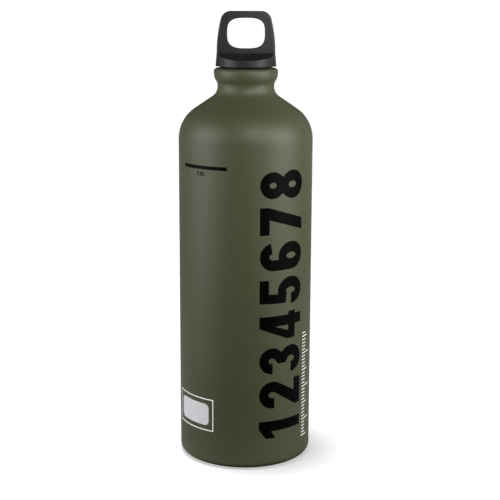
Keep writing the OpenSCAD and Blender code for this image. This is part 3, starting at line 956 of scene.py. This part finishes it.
# FLOOR AND LIGHT
# A white paper floor with a high lamp of its own, which throws the short shadow on the right, and soft
# panels around the bottle that leave the floor alone. Light bounced off the floor is held low, except
# behind the bottle and close beside its foot.
paper_deep = (0.90, 0.90, 0.90, 1)
paper_light = (0.93, 0.93, 0.93, 1)
bounce_least = (0.02, 0.02, 0.02, 1)
bounce_most = (0.95, 0.95, 0.95, 1)
paper_glow = (0.53, 0.53, 0.53, 1)
no_glow = (0, 0, 0, 1)
floor_half = 40
bounce_front_y, bounce_back_y = -0.11, 0.06
bounce_far, bounce_near, bounce_far_share = 0.55, 0.2, 0.3
foot_light_far, foot_light_near = 0.085, 0.045
floor_made = bmesh.new()
bmesh.ops.create_grid(floor_made, x_segments=24, y_segments=24, size=floor_half)
paper, tree, shader = finish_of("paper", roughness=0.9, specular=0.2)
relief = placed(tree, fine_relief, Swell_scale=60, Swell_depth=2e-5, Grain_scale=900, Grain_depth=1e-5)
drift = placed(tree, tone_drift, Scale=3, Contrast=1.0)
tone = mixed(tree, drift.outputs["Mask"], paper_deep, paper_light)
by_camera = node(tree, "LightPath").outputs["Is Camera Ray"]
at = node(tree, "TexCoord")
place = node(tree, "SeparateXYZ", {0: at.outputs["Object"]})
span = node(tree, "VectorMath", {0: at.outputs["Object"]}, operation="LENGTH")
behind = mask_from(tree, place.outputs["Y"], bounce_front_y, bounce_back_y)
near = mask_from(tree, span.outputs["Value"], bounce_far, bounce_near, bounce_far_share)
beside = mask_from(tree, span.outputs["Value"], foot_light_far, foot_light_near)
bounced = combine(tree, "MAXIMUM", combine(tree, "MULTIPLY", behind, near), beside)
bounce = mixed(tree, bounced, bounce_least, bounce_most)
seen = node(tree, "Mix", {"Factor": by_camera, "A": bounce, "B": tone}, data_type="RGBA")
glow = mixed(tree, by_camera, no_glow, paper_glow)
tree.links.new(seen.outputs["Result"], shader.inputs["Base Color"])
tree.links.new(glow, shader.inputs["Emission Color"])
shader.inputs["Emission Strength"].default_value = 1.0
tree.links.new(relief.outputs["Normal"], shader.inputs["Normal"])
floor = as_piece("floor", floor_made, paper)

room = bpy.data.worlds.new("room")
room.use_nodes = True
tree = room.node_tree
ray = node(tree, "LightPath")
strength = node(tree, "Math", {0: ray.outputs["Is Camera Ray"]}, {1: 0.99, 2: 0.01},
                operation="MULTIPLY_ADD")
tree.nodes["Background"].inputs["Color"].default_value = (1.0, 1.0, 1.0, 1)
tree.links.new(strength.outputs[0], tree.nodes["Background"].inputs["Strength"])
bpy.context.scene.world = room

floor_alone = bpy.data.collections.new("floor_alone")
floor_alone.objects.link(floor)
not_the_floor = bpy.data.collections.new("not_the_floor")
not_the_floor.objects.link(floor)
not_the_floor.collection_objects[0].light_linking.link_state = "EXCLUDE"

lamp_left = math.radians(3.1)
lamp_back = math.radians(0.6)
high_lamp = bpy.data.lights.new("floor_lamp", "SUN")
high_lamp.energy = 1.84
high_lamp.angle = math.radians(11)
floor_lamp = bpy.data.objects.new("floor_lamp", high_lamp)
way = Vector((-math.sin(lamp_left), math.sin(lamp_back), 1))
floor_lamp.rotation_euler = way.to_track_quat("Z", "Y").to_euler()
floor_lamp.light_linking.receiver_collection = floor_alone
bpy.context.scene.collection.objects.link(floor_lamp)

panel_distance = 0.4
panel_aim_z = 0.13


def soft_panel(name, azimuth, height, width, tall, power):
    """A soft upright panel facing the bottle; azimuth 0 is in front, 90 on its right."""
    light = bpy.data.lights.new(name, "AREA")
    light.shape = "RECTANGLE"
    light.size = width
    light.size_y = tall
    light.energy = power
    panel = bpy.data.objects.new(name, light)
    turn = math.radians(azimuth)
    panel.location = (panel_distance * math.sin(turn), -panel_distance * math.cos(turn), height)
    way = panel.location - Vector((0, 0, panel_aim_z))
    panel.rotation_euler = way.to_track_quat("Z", "Y").to_euler()
    panel.visible_camera = False
    panel.light_linking.receiver_collection = not_the_floor
    bpy.context.scene.collection.objects.link(panel)


soft_panel("left_panel", -67, 0.29, 0.37, 0.29, 1.02)
soft_panel("left_tall_panel", -73, 0.17, 0.34, 0.50, 0.98)
soft_panel("right_panel", 60, 0.28, 0.29, 0.29, 1.34)
soft_panel("right_tall_panel", 68, 0.22, 0.29, 0.46, 0.76)
soft_panel("front_panel", 16, 0.41, 0.20, 0.22, 1.02)
soft_panel("rear_left_panel", -135, 0.32, 0.21, 0.64, 0.10)
soft_panel("rear_right_panel", 135, 0.32, 0.21, 0.64, 0.18)
soft_panel("back_panel", 180, 0.10, 0.30, 0.18, 0.90)

# Where the photograph was taken from: eye point, aim and lens
view = bpy.context.scene.view_settings
view.view_transform = "Standard"
view.look = "None"
eye = Vector((0, -0.71788, 0.28038))
down, yaw, roll = (math.radians(a) for a in (12.138, 0.2245, 0.2207))
ahead = Vector((math.sin(yaw) * math.cos(down), math.cos(yaw) * math.cos(down), -math.sin(down)))
level = Vector((math.cos(yaw), -math.sin(yaw), 0))
upright = level.cross(ahead)
right = level * math.cos(roll) + upright * math.sin(roll)
top = upright * math.cos(roll) - level * math.sin(roll)
camera_data = bpy.data.cameras.new("camera")
camera_data.sensor_width = 36
camera_data.lens = 86.87
camera_data.clip_start = 0.01
camera_data.clip_end = 200
camera = bpy.data.objects.new("camera", camera_data)
turn = Matrix((right, top, -ahead)).transposed()
camera.matrix_world = Matrix.Translation(eye) @ turn.to_4x4()
bpy.context.scene.collection.objects.link(camera)
bpy.context.scene.camera = camera
